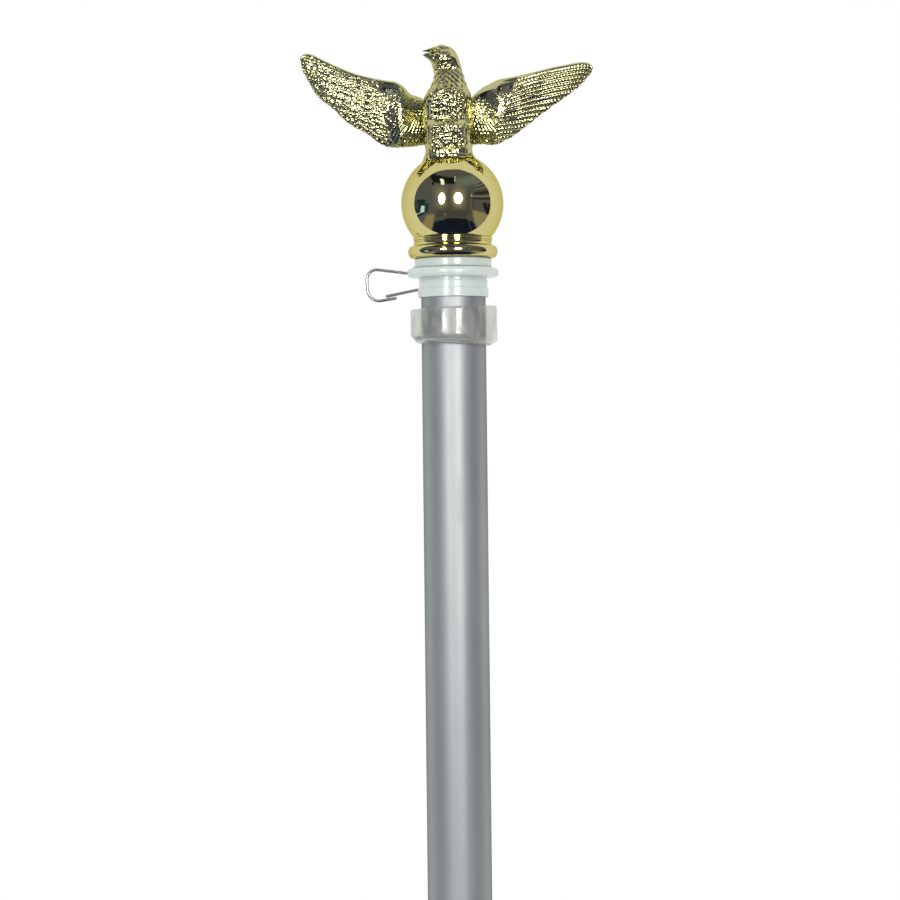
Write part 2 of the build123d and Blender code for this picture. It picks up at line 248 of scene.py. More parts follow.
bpy.context.scene.view_settings.view_transform = "Standard"
print("world nodes", len(wn))

# %% [markdown]
# ## Lights
# Two tall softboxes stand side by side in front, a little apart, so that a round polished form
# shows them as a pair of bright spots and a satin tube shows one broad band. They make only
# reflections. A third light makes none: it shades the white parts, which show their own colour
# more than they show the room.

# %% Softboxes
SOFTBOX_AWAY, SOFTBOX_TALL = 1.5, 0.64
SOFTBOX_AHEAD, SOFTBOX_UP = -0.94, 0.14
SOFTBOXES = (
    # side, across, width, watts
    ("left", -0.41, 0.38, 9.2),
    ("right", 0.22, 0.46, 11.5),
)


def softbox(name, toward, away, size, watts):
    data = bpy.data.lights.new(name, "AREA")
    data.shape = "ELLIPSE"
    data.size, data.size_y = size
    data.energy = watts
    light = bpy.data.objects.new(name, data)
    light.location = BALL + Vector(toward).normalized() * away
    light.rotation_euler = (BALL - light.location).to_track_quat("-Z", "Y").to_euler()
    light.visible_camera = False
    bpy.context.scene.collection.objects.link(light)
    print(name, watts, "W")
    return light


for side, across, wide, watts in SOFTBOXES:
    toward = (across, SOFTBOX_AHEAD, SOFTBOX_UP)
    box = softbox("softbox_" + side, toward, SOFTBOX_AWAY, (wide, SOFTBOX_TALL), watts)
    box.visible_diffuse = False
front_fill = softbox("front_fill", toward=(-0.05, -1.0, 0.25), away=1.7, size=(0.7, 0.7), watts=7.0)
front_fill.visible_glossy = False

# %% [markdown]
# ## Ground
# A pale disc under the foot takes its soft shadow. A plain plane would show a horizon, so this
# one brightens to plain white before its edge, and no view shows where it ends.

# %% Ground
GROUND_RADIUS, GROUND_DROP = 4.0, 0.0005
FADE_START, FADE_END = 0.6, 3.2


def new_material(name):
    material = bpy.data.materials.new(name)
    material.use_nodes = True
    nodes = material.node_tree.nodes
    return material, nodes, material.node_tree.links, nodes["Principled BSDF"]


bpy.ops.object.select_all(action="DESELECT")
bpy.ops.mesh.primitive_circle_add(
    vertices=96, radius=GROUND_RADIUS, fill_type="NGON", location=(0, 0, -GROUND_DROP)
)
ground = bpy.context.object
ground.name = "ground"
bpy.ops.object.transform_apply()
pale, nodes, links, shader = new_material("pale_ground")
nodes.remove(shader)
place = nodes.new("ShaderNodeTexCoord").outputs["Object"]
from_foot = nodes.new("ShaderNodeVectorMath")
from_foot.operation = "LENGTH"
links.new(place, from_foot.inputs[0])
fade = nodes.new("ShaderNodeMapRange")
fade.inputs["From Min"].default_value = FADE_START
fade.inputs["From Max"].default_value = FADE_END
fade.interpolation_type = "SMOOTHSTEP"
links.new(from_foot.outputs["Value"], fade.inputs["Value"])
matt = nodes.new("ShaderNodeBsdfDiffuse")
matt.inputs["Color"].default_value = (0.86, 0.86, 0.85, 1)
white = nodes.new("ShaderNodeEmission")
blend = nodes.new("ShaderNodeMixShader")
links.new(fade.outputs["Result"], blend.inputs[0])
links.new(matt.outputs[0], blend.inputs[1])
links.new(white.outputs[0], blend.inputs[2])
links.new(blend.outputs[0], nodes["Material Output"].inputs["Surface"])
ground.data.materials.append(pale)
ground.visible_glossy = False
print("ground", 2 * GROUND_RADIUS, "m across")

# %% [markdown]
# ## Finishes
# Each finish is a small node tree on the object's own coordinates, so that its grain stays on
# the part when the part moves. Nothing is wrapped on: noise patterns of different sizes give
# the cloudy tint, the smears in the gloss and the finest bumps. Five helpers build the nodes.

# %% Helpers for materials


def noise(nodes, links, place, scale, detail=4.0, stretch=(1, 1, 1), roughness=0.5):
    """A noise pattern at a size given in marks per metre, stretched along an axis if wanted."""
    mapping = nodes.new("ShaderNodeMapping")
    mapping.inputs["Scale"].default_value = stretch
    links.new(place, mapping.inputs["Vector"])
    pattern = nodes.new("ShaderNodeTexNoise")
    pattern.inputs["Scale"].default_value = scale
    pattern.inputs["Detail"].default_value = detail
    pattern.inputs["Roughness"].default_value = roughness
    links.new(mapping.outputs[0], pattern.inputs["Vector"])
    return pattern.outputs["Fac"]


def between(nodes, links, value, low, high, from_low=0.3, from_high=0.7):
    """Spreads a pattern over a range of values."""
    node = nodes.new("ShaderNodeMapRange")
    node.inputs["From Min"].default_value = from_low
    node.inputs["From Max"].default_value = from_high
    node.inputs["To Min"].default_value = low
    node.inputs["To Max"].default_value = high
    links.new(value, node.inputs["Value"])
    return node.outputs["Result"]


def two_colours(nodes, links, factor, first, second):
    node = nodes.new("ShaderNodeMix")
    node.data_type = "RGBA"
    links.new(factor, node.inputs["Factor"])
    a, b = [s for s in node.inputs if s.type == "RGBA"]
    a.default_value = (*first, 1)
    b.default_value = (*second, 1)
    return [s for s in node.outputs if s.type == "RGBA"][0]


def added(nodes, links, first, second):
    node = nodes.new("ShaderNodeMath")
    node.operation = "ADD"
    links.new(first, node.inputs[0])
    links.new(second, node.inputs[1])
    return node.outputs[0]


def bump(nodes, links, shader, height, strength, distance):
    node = nodes.new("ShaderNodeBump")
    node.inputs["Strength"].default_value = strength
    node.inputs["Distance"].default_value = distance
    links.new(height, node.inputs["Height"])
    links.new(node.outputs[0], shader.inputs["Normal"])


print("helpers for materials ready")

# %% [markdown]
# ### Pale gold plating
# Thin gold-coloured plating on a polished moulding is a mirror with a greenish-yellow tint, and
# paler where it is seen edge-on. A faint ripple of the moulding and a breath of haze keep it
# from being a perfect mirror. The ball and the eagle share one recipe with their own tints.

# %% Gold plating
EDGE_TINT = (0.72, 0.68, 0.42)


def gold_material(name, haze, ripple, bright, deep):
    material, nodes, links, shader = new_material(name)
    place = nodes.new("ShaderNodeTexCoord").outputs["Object"]
    shader.inputs["Metallic"].default_value = 1.0
    cloud = noise(nodes, links, place, scale=60)
    tint = two_colours(nodes, links, between(nodes, links, cloud, 0, 1), bright, deep)
    links.new(tint, shader.inputs["Base Color"])
    shader.inputs["Specular Tint"].default_value = (*EDGE_TINT, 1)
    smear = noise(nodes, links, place, scale=260, detail=6)
    links.new(between(nodes, links, smear, haze * 0.5, haze * 1.6), shader.inputs["Roughness"])
    wave = noise(nodes, links, place, scale=90, detail=2)
    bump(nodes, links, shader, wave, strength=ripple, distance=0.0002)
    print(name, "haze", haze)
    return material


ball_gold = gold_material(
    "ball_gold_plating", haze=0.05, ripple=0.05,
    bright=(0.615, 0.56, 0.245), deep=(0.58, 0.52, 0.21),
)
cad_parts["ball"].data.materials[0] = ball_gold

# %% [markdown]
# ### White nylon
# The plugs and the rings are moulded in a cool white nylon. A plain white gloss would look like
# paint: real nylon lets light a millimetre or so into itself, so subsurface scattering softens
# its shadows, and its gloss is broken by a fine skin from the mould.

# %% White nylon
nylon, nodes, links, shader = new_material("white_nylon_moulding")
place = nodes.new("ShaderNodeTexCoord").outputs["Object"]
tone = between(nodes, links, noise(nodes, links, place, scale=120), 0, 1)
tint = two_colours(nodes, links, tone, (0.79, 0.87, 0.825), (0.74, 0.82, 0.78))
links.new(tint, shader.inputs["Base Color"])
shader.inputs["Subsurface Weight"].default_value = 0.15
shader.inputs["Subsurface Radius"].default_value = (0.9, 1.0, 1.0)
shader.inputs["Subsurface Scale"].default_value = 0.0015
skin = noise(nodes, links, place, scale=900, detail=5)
links.new(between(nodes, links, skin, 0.16, 0.30), shader.inputs["Roughness"])
bump(nodes, links, shader, skin, strength=0.12, distance=0.0001)
NYLON_PARTS = ("top_plug", "top_ring", "lower_ring", "foot_plug")
for name in NYLON_PARTS:
    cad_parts[name].data.materials[0] = nylon
print(nylon.name, "on", len(NYLON_PARTS), "parts")

# %% [markdown]
# ### Satin aluminium
# The tube is drawn, brushed fine and anodised. The finish scatters light into one broad soft
# band, with a very fine grain along the tube and small specks. The anodised skin is less of a
# mirror than bare metal, so it is only partly metallic and goes darker at its edges. Faint
# smudges from handling change its gloss here and there.

# %% Satin aluminium
satin, nodes, links, shader = new_material("satin_anodised_tube")
place = nodes.new("ShaderNodeTexCoord").outputs["Object"]
shader.inputs["Metallic"].default_value = 0.70
shader.inputs["Specular Tint"].default_value = (0.05, 0.07, 0.08, 1)
cloud = noise(nodes, links, place, scale=40, detail=4, stretch=(1, 1, 0.5))
cloud = between(nodes, links, cloud, 0, 1)
tint = two_colours(nodes, links, cloud, (0.44, 0.46, 0.45), (0.39, 0.41, 0.40))
links.new(tint, shader.inputs["Base Color"])
grain = noise(nodes, links, place, scale=3000, detail=3, stretch=(1, 1, 0.04))
speck = noise(nodes, links, place, scale=5200, detail=2)
smudge = noise(nodes, links, place, scale=55, detail=5, stretch=(1, 1, 0.35), roughness=0.6)
speck_gloss = between(nodes, links, speck, 0.44, 0.50)
smudge_gloss = between(nodes, links, smudge, 0.0, 0.07, from_low=0.40, from_high=0.66)
links.new(added(nodes, links, speck_gloss, smudge_gloss), shader.inputs["Roughness"])
bump(nodes, links, shader, added(nodes, links, grain, speck), strength=0.14, distance=0.00006)
TUBE_PARTS = ("upper_tube", "lower_tube", "joiner_tube", "joiner_rivets")
for name in TUBE_PARTS:
    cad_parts[name].data.materials[0] = satin
print(satin.name, "on", len(TUBE_PARTS), "parts")

# %% [markdown]
# ### Steel and brass
# The small metal parts are bright: drawn spring wire, zinc-plated steel and turned brass. Each
# is a mirror broken up by fine streaks, so that the wire shows a bright core between dark edges.
# They differ only in tint, gloss and the size of the marks, so one function makes all three.

# %% Steel and brass of the small parts


def small_metal(name, light, dark, gloss, marks, parts):
    material, nodes, links, shader = new_material(name)
    place = nodes.new("ShaderNodeTexCoord").outputs["Object"]
    shader.inputs["Metallic"].default_value = 1.0
    streak = noise(nodes, links, place, marks, 4)
    tint = two_colours(nodes, links, between(nodes, links, streak, 0, 1), light, dark)
    links.new(tint, shader.inputs["Base Color"])
    links.new(between(nodes, links, streak, *gloss), shader.inputs["Roughness"])
    bump(nodes, links, shader, streak, strength=0.08, distance=0.00005)
    for part in parts:
        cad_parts[part].data.materials[0] = material
    print(name, "on", len(parts), "parts")


WIRE_PARTS = ["top_clip_hook", "top_clip_gate", "lower_clip_hook", "lower_clip_gate", "snap_spring"]
STEEL_PARTS = ["eagle_stud", "finial_bolt", "bolt_washer", "snap_button"]
small_metal("bright_spring_wire", (0.44, 0.43, 0.40), (0.34, 0.33, 0.30),
            gloss=(0.20, 0.30), marks=1500, parts=WIRE_PARTS)
small_metal("zinc_plated_steel", (0.62, 0.63, 0.62), (0.50, 0.52, 0.53),
            gloss=(0.24, 0.42), marks=700, parts=STEEL_PARTS)
small_metal("turned_brass", (0.74, 0.60, 0.30), (0.66, 0.50, 0.24),
            gloss=(0.20, 0.36), marks=900, parts=["finial_insert"])

# %% [markdown]
# ## Sculpting tools
# The eagle is cast: its feathers are relief on a rounded form. Such a shape could be pushed and
# pulled by hand in sculpt mode, but then it could not be measured or changed later. Here each
# part starts as a flat grid, is wrapped into the form, closed by merging where its edges meet,
# and pushed out along its own normals by a relief drawn in millimetres from the ball's centre.
# First come curves through measured stations, and a soft step that fades one region into another.

# %% Curves and soft steps


def smooth_through(x, xs, ys):
    """A smooth curve through the stations (xs, ys), read at x."""
    xs, ys = np.asarray(xs, float), np.asarray(ys, float)
    slope = np.gradient(ys, xs)
    k = np.clip(np.searchsorted(xs, x) - 1, 0, len(xs) - 2)
    width = xs[k + 1] - xs[k]
    t = np.clip((x - xs[k]) / width, 0, 1)
    return (
        (2 * t**3 - 3 * t**2 + 1) * ys[k]
        + (t**3 - 2 * t**2 + t) * width * slope[k]
        + (3 * t**2 - 2 * t**3) * ys[k + 1]
        + (t**3 - t**2) * width * slope[k + 1]
    )


def along_outline(u, points):
    """The point at the share u of the length of a smooth line through the points."""
    points = np.asarray(points, float)
    step = np.hypot(*np.diff(points, axis=0).T)
    length = np.concatenate([[0], np.cumsum(step)])
    fine = np.linspace(0, length[-1], 400)
    line = np.column_stack([smooth_through(fine, length, points[:, i]) for i in (0, 1)])
    run = np.concatenate([[0], np.cumsum(np.hypot(*np.diff(line, axis=0).T))])
    run /= run[-1]
    return np.interp(u, run, line[:, 0]), np.interp(u, run, line[:, 1])


def step_up(value, start, end):
    """0 below start, 1 above end, and a soft step between."""
    t = np.clip((value - start) / (end - start), 0, 1)
    return t * t * (3 - 2 * t)


print("a soft step half way up is", float(step_up(0.5, 0, 1)))

# %% [markdown]
# ### Patterns for the relief
# Cast feathers aren't even. A loose lattice gives every cell a centre that is nudged aside and
# a number of its own, so that beads and pebbles differ in place and height, and hillocks give
# slow uneven ground. The random tables come from a seed, so each run makes the same eagle.

# %% Patterns for the relief
TABLE = 64      # the random tables repeat after this many cells
FAR = 9.0       # further than any cell's centre, in cells


def grains(a, b, cell_a, cell_b, jitter, stagger, seed):
    """Distance to the nearest centre of a loose lattice, in cells, and that centre's own number."""
    table = np.random.default_rng(seed).random((TABLE, TABLE, 3))
    ia, ib = np.floor(a / cell_a).astype(int), np.floor(b / cell_b).astype(int)
    nearest = np.full(a.shape, FAR)
    own = np.zeros(a.shape)
    for da in (-1, 0, 1):
        for db in (-1, 0, 1):
            ja, jb = ia + da, ib + db
            roll = table[ja % TABLE, jb % TABLE]
            centre_a = ja + 0.5 + stagger * 0.5 * (jb % 2) + (roll[..., 0] - 0.5) * jitter
            centre_b = jb + 0.5 + (roll[..., 1] - 0.5) * jitter
            away = np.hypot(a / cell_a - centre_a, b / cell_b - centre_b)
            closer = away < nearest
            nearest = np.where(closer, away, nearest)
            own = np.where(closer, roll[..., 2], own)
    return nearest, own


def beads(a, b, cell_a, cell_b, jitter, stagger, seed, fill=0.56):
    """Round beads, 0 to 1 high, of uneven height."""
    away, own = grains(a, b, cell_a, cell_b, jitter, stagger, seed)
    return np.sqrt(np.clip(1 - (away / fill) ** 2, 0, 1)) * (0.65 + 0.35 * own)


def flat_grains(a, b, cell_a, cell_b, jitter, stagger, seed, core=0.26, foot=0.60):
    """Pebbles with almost flat tops and narrow grooves between them, 0 to 1 high."""
    away, own = grains(a, b, cell_a, cell_b, jitter, stagger, seed)
    return (1 - step_up(away, core, foot)) * (0.75 + 0.25 * own) - 0.10 * away


def hillocks(a, b, size, seed):
    """Soft uneven ground, -1 to 1, with hills about one size across."""
    table = np.random.default_rng(seed).random((TABLE, TABLE)) * 2 - 1
    a, b = a / size, b / size
    ia, ib = np.floor(a).astype(int), np.floor(b).astype(int)
    ta, tb = a - ia, b - ib
    ta, tb = ta * ta * (3 - 2 * ta), tb * tb * (3 - 2 * tb)

    def corner(i, j):
        return table[(ia + i) % TABLE, (ib + j) % TABLE]

    low = corner(0, 0) * (1 - ta) + corner(1, 0) * ta
    high = corner(0, 1) * (1 - ta) + corner(1, 1) * ta
    return low * (1 - tb) + high * tb


print("patterns", beads.__name__, flat_grains.__name__, hillocks.__name__)

# %% [markdown]
# ### From a flat grid to a casting
# A grid of one by one is the plainest start: its two coordinates run around and along the
# piece. Where the wrapped edges meet, doubled points are merged, which closes the form, and the
# normals are made to point outwards before the relief pushes along them.

# %% From a flat grid to a casting
MERGE_DISTANCE = 0.000004


def wrapped_grid(name, around, along, form):
    """A grid wrapped into a closed form: form(u, v) gives the place, in mm from the ball."""
    bpy.ops.object.select_all(action="DESELECT")
    bpy.ops.mesh.primitive_grid_add(x_subdivisions=around, y_subdivisions=along, size=1)
    piece = bpy.context.object
    piece.name = name
    flat = np.empty(len(piece.data.vertices) * 3)
    piece.data.vertices.foreach_get("co", flat)
    flat = flat.reshape(-1, 3)
    place = np.column_stack(form(flat[:, 0] + 0.5, flat[:, 1] + 0.5))
    place = place * MM + np.array(BALL)
    piece.data.vertices.foreach_set("co", place.ravel())
    bpy.ops.object.mode_set(mode="EDIT")
    bpy.ops.mesh.select_all(action="SELECT")
    bpy.ops.mesh.remove_doubles(threshold=MERGE_DISTANCE)
    bpy.ops.mesh.normals_make_consistent(inside=False)
    bpy.ops.object.mode_set(mode="OBJECT")
    bpy.ops.object.shade_smooth()
    return piece


def sculpt(piece, relief):
    """Pushes the surface out along its normals by relief(x, y, z, normal), in mm."""
    mesh = piece.data
    place = np.empty(len(mesh.vertices) * 3)
    mesh.vertices.foreach_get("co", place)
    normal = np.empty(len(mesh.vertices) * 3)
    mesh.vertices.foreach_get("normal", normal)
    place, normal = place.reshape(-1, 3), normal.reshape(-1, 3)
    x, y, z = ((place - np.array(BALL)) / MM).T
    height = relief(x, y, z, normal)
    place += normal * height[:, None] * MM
    mesh.vertices.foreach_set("co", place.ravel())
    mesh.update()


def cast_gold(piece, material):
    piece.data.materials.clear()
    piece.data.materials.append(material)
    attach(piece, "pole")
    print(piece.name, len(piece.data.polygons), "faces")


print("merging closer than", MERGE_DISTANCE, "m")

# %% [markdown]
# ### Gold on the casting
# The same plating lies duller on a casting than on the polished ball: it is a little darker and
# hazier. The wings have more haze than the body, whose pebbles sparkle.

# %% Gold on the casting
CAST_TINT = {"bright": (0.51, 0.495, 0.255), "deep": (0.46, 0.445, 0.215)}
WING_GOLD = gold_material("wing_gold_plating", haze=0.11, ripple=0.03, **CAST_TINT)
BODY_GOLD = gold_material("body_gold_plating", haze=0.045, ripple=0.03, **CAST_TINT)

# %% [markdown]
# ### Wings
# A wing is a thin shell between a leading and a trailing line that meet at the tip. It leaves
# the body behind the shoulder, comes forward at the wrist and sweeps back to the tip, and its
# lower edge curls back. The two wings aren't mirror images, so neither is a copy of the other:
# the left one is higher and covered with pebbled feathers, the right one has neat rows of
# beads. First their outlines, as points across and up.

# %% The wings' outlines
LEFT_LEAD = [
    (-5, 40), (-9, 41), (-12.7, 42.9), (-15.9, 43.9), (-19, 46.9), (-22.2, 48.8), (-25.3, 49.3),
    (-31.6, 50.4), (-37.9, 52.0), (-44.2, 54.7), (-50.5, 57.8), (-54.6, 60.0), (-56.9, 60.6),
    (-58.8, 60.0), (-59.6, 58.3),
]
LEFT_TRAIL = [
    (-5, 25), (-10, 24.2), (-12.7, 23.8), (-15.9, 23.0), (-19, 22.7), (-22.2, 22.6),
    (-25.3, 23.0), (-28.5, 24.6), (-31.6, 26.9), (-34.8, 29.1), (-37.9, 30.8), (-41.1, 32.9),
    (-44.2, 35.9), (-47.4, 39.2), (-50.5, 41.3), (-53.7, 44.7), (-56.4, 49.6), (-58.6, 54.2),
    (-59.6, 58.3),
]
RIGHT_LEAD = [
    (4, 40.5), (7, 41.5), (9.3, 43.7), (12.5, 46.3), (15.6, 47.8), (18.8, 49.2), (21.9, 49.8),
    (28.2, 50.9), (34.5, 52.1), (40.8, 53.6), (47.1, 54.8), (51.5, 55.5), (54.2, 55.2),
    (55.6, 54.2), (55.9, 53.0),
]
RIGHT_TRAIL = [
    (4, 25), (9, 24.4), (12.5, 24.0), (15.6, 23.5), (18.8, 23.9), (21.9, 25.4), (25.1, 27.2),
    (28.2, 29.7), (31.4, 32), (34.5, 34.5), (37.7, 36.6), (40.8, 39), (44, 41), (47.1, 43.3),
    (50.3, 45.8), (53.0, 48.7), (55.2, 51.3), (55.9, 53.0),
]
print("wing spans", -LEFT_LEAD[-1][0], "and", RIGHT_LEAD[-1][0], "mm")

# %% [markdown]
# ### The wings' form
# At stations along the span, five rows of numbers say how far forward the shell stands, how its
# lower and upper edges bend away, and how thick it is. The front takes most of the grid's
# width, because its feathers need the finer mesh.

# %% The wings' form
SPAN_STATIONS = [3, 8, 12, 16, 18.8, 20.2, 22, 26, 35, 45, 61]
LEFT_FORWARD = [4.0, 2.6, -0.4, -3.4, -5.2, -5.6, -4.6, -2.0, 0.6, 2.7, 6.4]
RIGHT_FORWARD = [4.0, 2.6, -0.4, -3.2, -4.6, -4.8, -4.0, -2.2, -0.9, 0.3, 2.6]
LOWER_CURL = [3.0, 4.5, 6.0, 7.0, 7.0, 7.0, 6.4, 5.0, 2.0, 0.8, 0.2]
UPPER_TILT = [0.0, 1.4, 5.0, 7.0, 7.4, 7.4, 7.0, 5.0, 1.0, 0.2, 0.0]
HALF_THICK = [2.4, 2.3, 2.0, 1.8, 1.75, 1.7, 1.7, 1.6, 1.4, 1.2, 0.9]
FRONT_SHARE = 0.7
TIP_CROWDING = 1.15    # above 1, the grid's lines crowd towards the tip
EDGE_CROWDING = 0.06   # above 0, they crowd towards the leading and trailing edges


def wing_form(lead, trail, forward):
    def form(around, u):
        u = 1 - (1 - u) ** TIP_CROWDING
        front = around < FRONT_SHARE
        t = np.where(front, around / FRONT_SHARE, (1 - around) / (1 - FRONT_SHARE))
        v = t - EDGE_CROWDING * np.sin(2 * np.pi * t)
        lead_x, lead_z = along_outline(u, lead)
        trail_x, trail_z = along_outline(u, trail)
        x = lead_x + (trail_x - lead_x) * v
        z = lead_z + (trail_z - lead_z) * v
        out = np.abs(x)
        middle = smooth_through(out, SPAN_STATIONS, forward)
        middle = middle + smooth_through(out, SPAN_STATIONS, LOWER_CURL) * v**1.7 + (1 - v) ** 7
        middle = middle + smooth_through(out, SPAN_STATIONS, UPPER_TILT) * (1 - v) ** 1.7
        chord = np.hypot(trail_x - lead_x, trail_z - lead_z)
        half = np.minimum(smooth_through(out, SPAN_STATIONS, HALF_THICK), 0.5 * chord)
        half = half * np.sqrt(np.clip(1 - (2 * v - 1) ** 4, 0, 1)) * (1 - 0.35 * v)
        return x, middle + np.where(front, -half, half), z

    return form


left_wing = wrapped_grid("left_wing", 230, 330, wing_form(LEFT_LEAD, LEFT_TRAIL, LEFT_FORWARD))
right_wing = wrapped_grid("right_wing", 230, 320, wing_form(RIGHT_LEAD, RIGHT_TRAIL, RIGHT_FORWARD))
print("wing grids", len(left_wing.data.vertices), "and", len(right_wing.data.vertices), "points")

# %% [markdown]
# ### Feathers on the wings
# The relief is a sum of masks times patterns: a smooth rolled rim along the leading edge, the
# feathers of the outer wing, a smooth bulging wrist, small scales beside the body, and fine
# hair strokes that fan out from the shoulder over the lower inner part. Real geometry is used
# and not only a bump in the finish, so that the feathers also show in the outline.

# %% Feather relief
ROW_PITCH = 1.72


def wing_relief(lead, feathers, patch_x, patch_z, fan_x, seed):
    lead = np.array(lead)
    order = np.argsort(lead[:-1, 0])
    lead = lead[:-1][order]

    def relief(x, y, z, normal):
        out = np.abs(x)
        below = np.interp(x, lead[:, 0], lead[:, 1]) - z

        # The feathers of the outer wing start at an uneven line and stop short of the rolled rim.
        root_line = np.interp(z, patch_z, patch_x) + 0.8 * hillocks(z, out, 1.7, seed + 1)
        outer = step_up(out - root_line, -0.4, 0.6)
        clear_of_rim = step_up(below, 0.9, 1.7)
        height = outer * clear_of_rim * feathers(x, z, out, below)
        height += 0.28 * np.exp(-(((below - 0.75) / 0.6) ** 2)) * step_up(out, 17, 24)

        # The bulging wrist is almost smooth, with a fine mottle.
        inner = 1 - outer
        mottle, own = grains(out, z, 0.62, 0.62, 0.8, 0, seed + 2)
        mottled = step_up(out, 14, 17) * step_up(-z, -48, -42)
        height += inner * 0.16 * (1 - step_up(mottle, 0.2, 0.6)) * own * mottled

        # Hair strokes fan out from the shoulder over the lower inner part.
        low = 1 - step_up(z, 29.5, 35.0)
        angle = np.degrees(np.arctan2(out - fan_x, 46.0 - z))
        wander = 1.6 * hillocks(out, z, 4.0, seed + 3)
        stroke = np.abs(((angle + wander) / 4.0) % 1 - 0.5) * 2
        length_break = 0.5 + 0.5 * hillocks(angle / 4.4, np.hypot(out, z), 2.2, seed + 4)
        strokes = inner * low * (0.50 * stroke * (0.6 + 0.4 * length_break))

        # Small scales lie beside the body.
        scale_away, scale_own = grains(out + 0.25 * z, z, 1.15, 1.35, 0.45, 1, seed + 5)
        scales = inner * (1 - step_up(out, 13.0, 16.5)) * (1 - step_up(z, 40.0, 43.0))
        scale = (1 - step_up(scale_away, 0.25, 0.62)) * (0.6 + 0.4 * scale_own)
        height += strokes + scales * 0.22 * scale

        # A string of beads closes the lower edge.
        hem_beads = beads(out, z, 1.5, 1.5, 0.3, 0, seed + 6)
        hem = inner * np.exp(-(((z - 24.4) / 0.9) ** 2)) * (1 - step_up(out, 19, 22))
        height += hem * 0.5 * hem_beads
        return height * step_up(np.abs(normal[:, 1]), 0.15, 0.55)

    return relief


def pebbled(x, z, out, below):
    """Irregular pebbles in loose rows that follow the wing's slope."""
    along, across = out * 0.94 + z * 0.34, z * 0.94 - out * 0.34
    wander = 0.5 * hillocks(along, across, 5.0, 11)
    pebble = flat_grains(along + wander, across + wander, 1.50, 1.32, 0.85, 1, 12)
    rows = 0.05 * np.cos(2 * np.pi * (across + wander) / 2.5)
    return 0.34 * pebble + rows + 0.08 * hillocks(along, across, 2.6, 13)


def bead_rows(x, z, out, below):
    """Narrow feathers side by side: a ridge with a string of beads, or with smooth bars."""
    flat = step_up(below, 9.0, 20.0)
    across = below - flat * 0.19 * (out - 25.0) * 0.9
    across = across - 0.10 * step_up(-out, -34, -24) * (34 - out)
    row = np.floor(across / ROW_PITCH)
    inside = across / ROW_PITCH - row
    ridge = np.clip(np.sin(np.pi * inside), 0, 1) ** 0.7
    shift = (row * 0.37) % 1.0
    string = flat_grains(out + shift * 1.2, across, 1.25, ROW_PITCH, 0.12, 0, 21, 0.22, 0.52)
    bars = step_up(hillocks(out * 0.25, row, 1.0, 22), 0.15, 0.45) * (1 - step_up(out, 34, 40))
    return 0.16 * ridge + 0.32 * string * (1 - bars) + 0.22 * ridge * bars


sculpt(left_wing, wing_relief(
    LEFT_LEAD, pebbled, patch_x=(23.9, 24.3, 25.6, 28.9), patch_z=(22, 32, 40, 49),
    fan_x=9.0, seed=100,
))
sculpt(right_wing, wing_relief(
    RIGHT_LEAD, bead_rows, patch_x=(17.0, 18.2, 21.8, 24.0, 26.6), patch_z=(26, 33, 39, 45, 50),
    fan_x=6.0, seed=200,
))
cast_gold(left_wing, WING_GOLD)
cast_gold(right_wing, WING_GOLD)
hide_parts("eagle")
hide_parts("eagle")

# %% [markdown]
# ### Body, neck and head
# The body is a stack of rounded sections, flat in front and narrow at the neck, that opens at
# the bottom into a hem lying on the ball. The head is turned to the side, so its own outline is
# the profile. Sections in one table are easier to correct than a sculpted mesh: each row is one
# height, with the places of its four sides and how square it is (1 is an oval).

# %% The body's form
#            z   left  right  front  back  squareness
STATIONS = [
    (16.0, -12.7, 12.7, -10.6, 11.2, 0.95),
    (18.6, -11.5, 9.5, -9.6, 10.0, 0.88),
    (20.2, -10.5, 8.3, -9.0, 9.2, 0.80),
    (22.0, -10.4, 8.1, -9.4, 9.2, 0.74),
    (26.0, -10.6, 8.3, -10.2, 9.0, 0.72),
    (29.8, -10.8, 8.4, -10.5, 8.6, 0.72),
    (33.2, -10.9, 8.4, -8.1, 8.4, 0.74),
    (36.5, -11.0, 8.3, -8.8, 8.2, 0.76),
    (41.0, -10.6, 8.0, -9.4, 8.0, 0.80),
    (44.2, -9.2, 7.2, -8.5, 7.8, 0.86),
    (47.3, -7.6, 6.1, -5.9, 7.8, 0.94),
    (50.8, -6.7, 5.1, -3.0, 8.2, 0.98),
    (53.4, -7.0, 4.4, -0.9, 8.6, 0.98),
    (55.2, -7.5, 3.9, -1.1, 8.4, 0.98),
    (57.4, -8.0, 3.2, -1.8, 8.2, 0.98),
    (59.0, -8.0, 2.6, -1.0, 8.0, 0.98),
    (60.6, -7.5, 1.8, 0.6, 7.6, 0.98),
    (62.2, -6.4, 0.1, 2.4, 6.9, 1.00),
    (63.1, -5.1, -2.2, 3.8, 6.0, 1.00),
    (63.4, -4.0, -3.5, 4.6, 5.2, 1.00),
]
BASE_CAP = 1.6      # the part of the grid, in rows of the table, that closes the hem's underside
SEAT_RADIUS = 20.1  # in mm: the hem sinks a tenth of a millimetre into the ball


